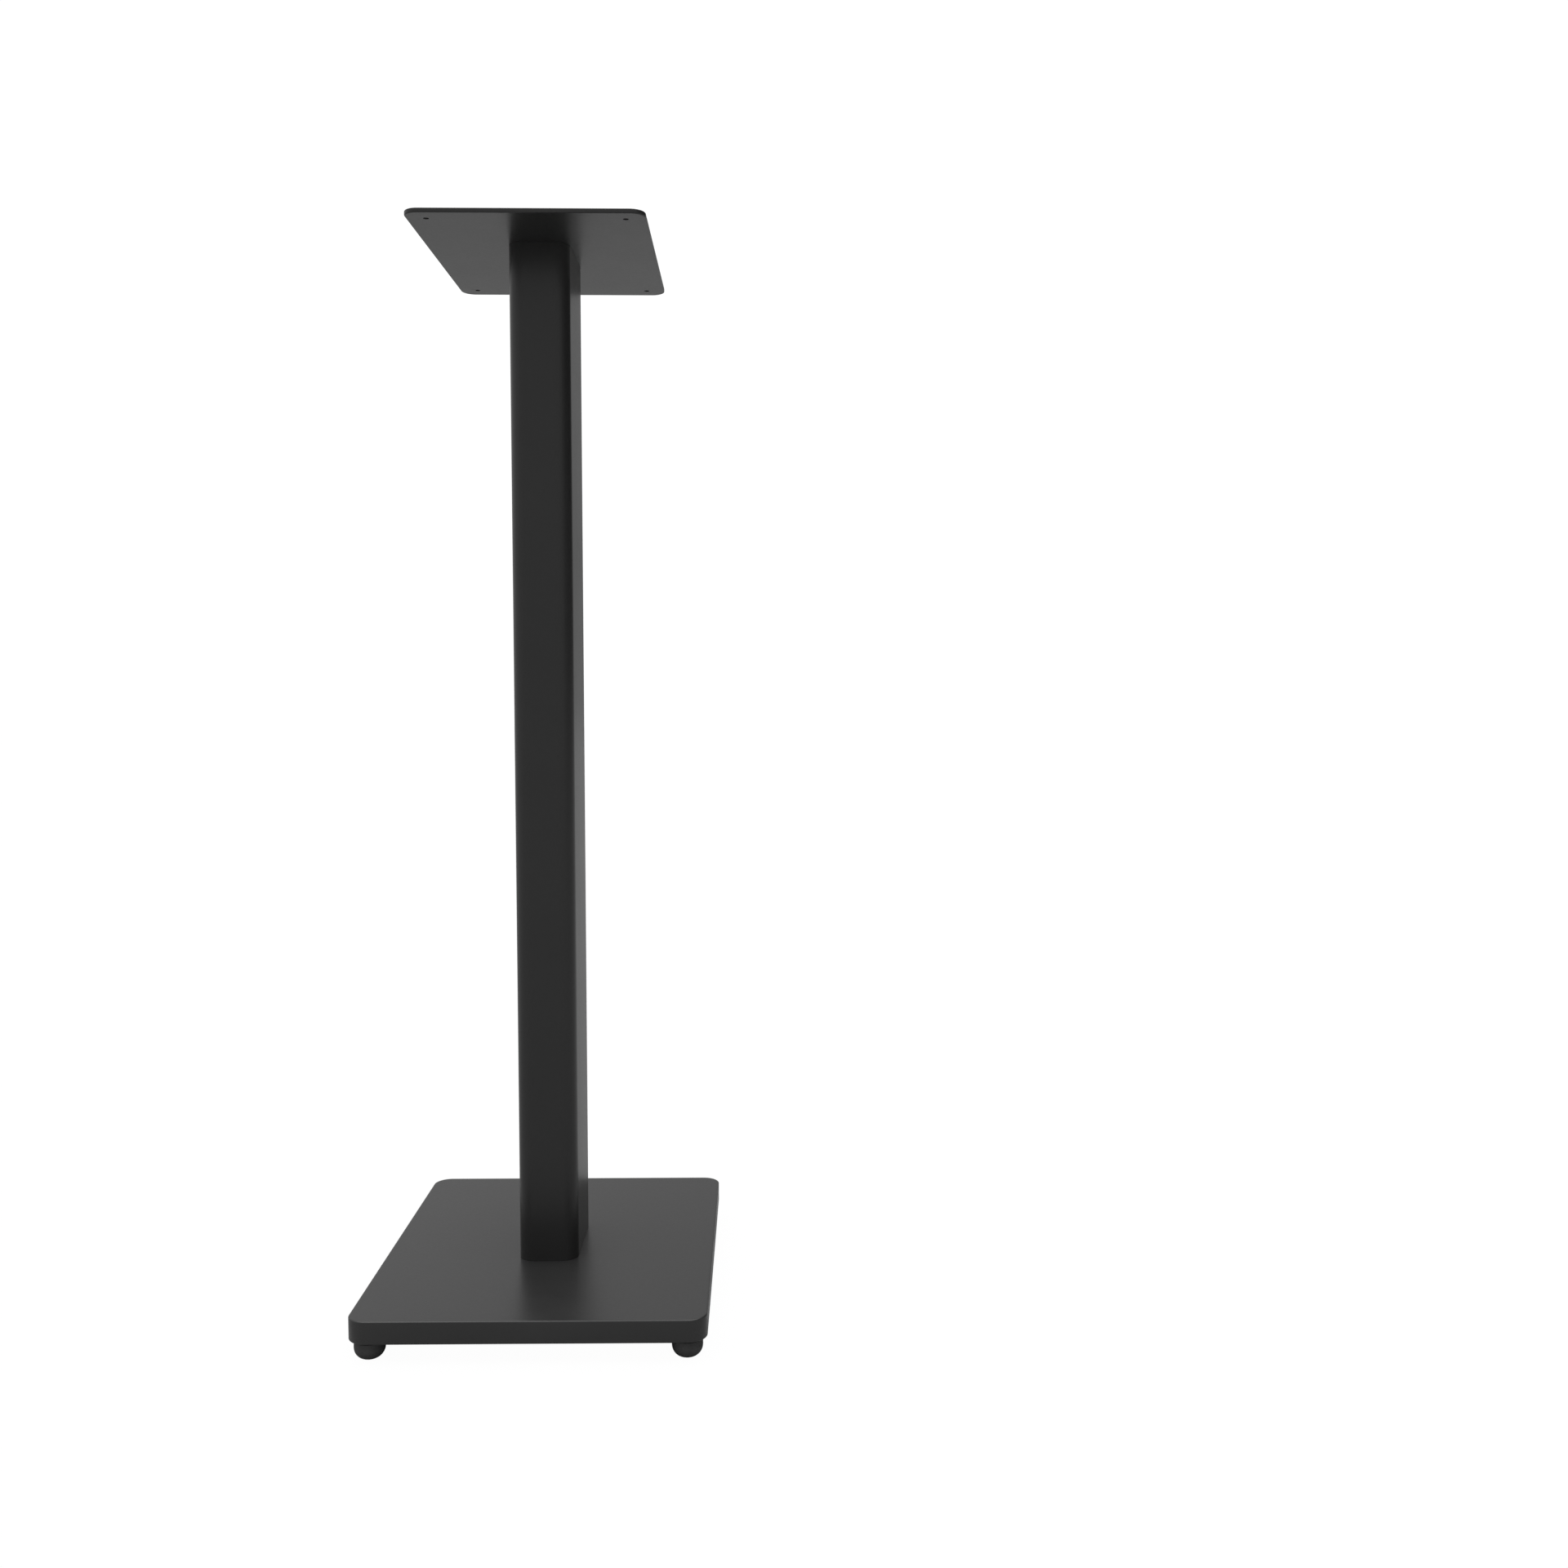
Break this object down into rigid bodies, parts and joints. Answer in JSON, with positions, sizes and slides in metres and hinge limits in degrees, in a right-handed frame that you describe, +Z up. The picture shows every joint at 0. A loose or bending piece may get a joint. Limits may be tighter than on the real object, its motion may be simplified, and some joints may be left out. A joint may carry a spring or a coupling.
{
  "type": "speaker stand",
  "caption": "Floor stand for a loudspeaker: hollow oblong column between a thin rounded top plate and a thick base board on screw-in levelling dome feet, with rear cable slots.",
  "frame": {"origin": "on the floor, under the middle of the base, at the feet's flat bottoms", "axes": "+Z up along the column, -Y the front (a narrow side of the column), +Y the rear with the cable slots, +X to the right seen from the front"},
  "size_m": [0.2286, 0.2794, 0.7262],
  "materials": {
    "powder_coat": "satin black powder coat with a fine texture",
    "board_lacquer": "satin black lacquer on fibreboard",
    "bare_steel": "mill finish",
    "black_screw": "black oxide",
    "zinc_plate": "bright zinc plating",
    "foot_rubber": "matte moulded rubber",
    "grommet_rubber": "matte moulded rubber"
  },
  "bodies": {
    "stand": {"base_plate": "board_lacquer", "column": "powder_coat", "top_plate": "powder_coat", "lower_end_plate": "bare_steel", "upper_end_plate": "bare_steel", "cable_grommet_upper": "grommet_rubber", "cable_grommet_lower": "grommet_rubber", "top_screw_front_left": "black_screw", "top_screw_front_right": "black_screw", "top_screw_rear_left": "black_screw", "top_screw_rear_right": "black_screw", "base_bolt_front_left": "black_screw", "base_bolt_front_right": "black_screw", "base_bolt_rear_left": "black_screw", "base_bolt_rear_right": "black_screw", "base_washer_front_left": "zinc_plate", "base_washer_front_right": "zinc_plate", "base_washer_rear_left": "zinc_plate", "base_washer_rear_right": "zinc_plate", "foot_insert_front_left": "zinc_plate", "foot_insert_front_right": "zinc_plate", "foot_insert_rear_left": "zinc_plate", "foot_insert_rear_right": "zinc_plate"},
    "foot_front_left": {"foot_stud_front_left": "zinc_plate", "foot_dome_front_left": "foot_rubber"},
    "foot_front_right": {"foot_stud_front_right": "zinc_plate", "foot_dome_front_right": "foot_rubber"},
    "foot_rear_left": {"foot_stud_rear_left": "zinc_plate", "foot_dome_rear_left": "foot_rubber"},
    "foot_rear_right": {"foot_stud_rear_right": "zinc_plate", "foot_dome_rear_right": "foot_rubber"}
  },
  "joints": [
    {"name": "level_front_left", "type": "slide", "parent": "stand", "child": "foot_front_left", "axis": [0, 0, -1], "range_m": [0, 0.006]},
    {"name": "level_front_right", "type": "slide", "parent": "stand", "child": "foot_front_right", "axis": [0, 0, -1], "range_m": [0, 0.006]},
    {"name": "level_rear_left", "type": "slide", "parent": "stand", "child": "foot_rear_left", "axis": [0, 0, -1], "range_m": [0, 0.006]},
    {"name": "level_rear_right", "type": "slide", "parent": "stand", "child": "foot_rear_right", "axis": [0, 0, -1], "range_m": [0, 0.006]}
  ]
}
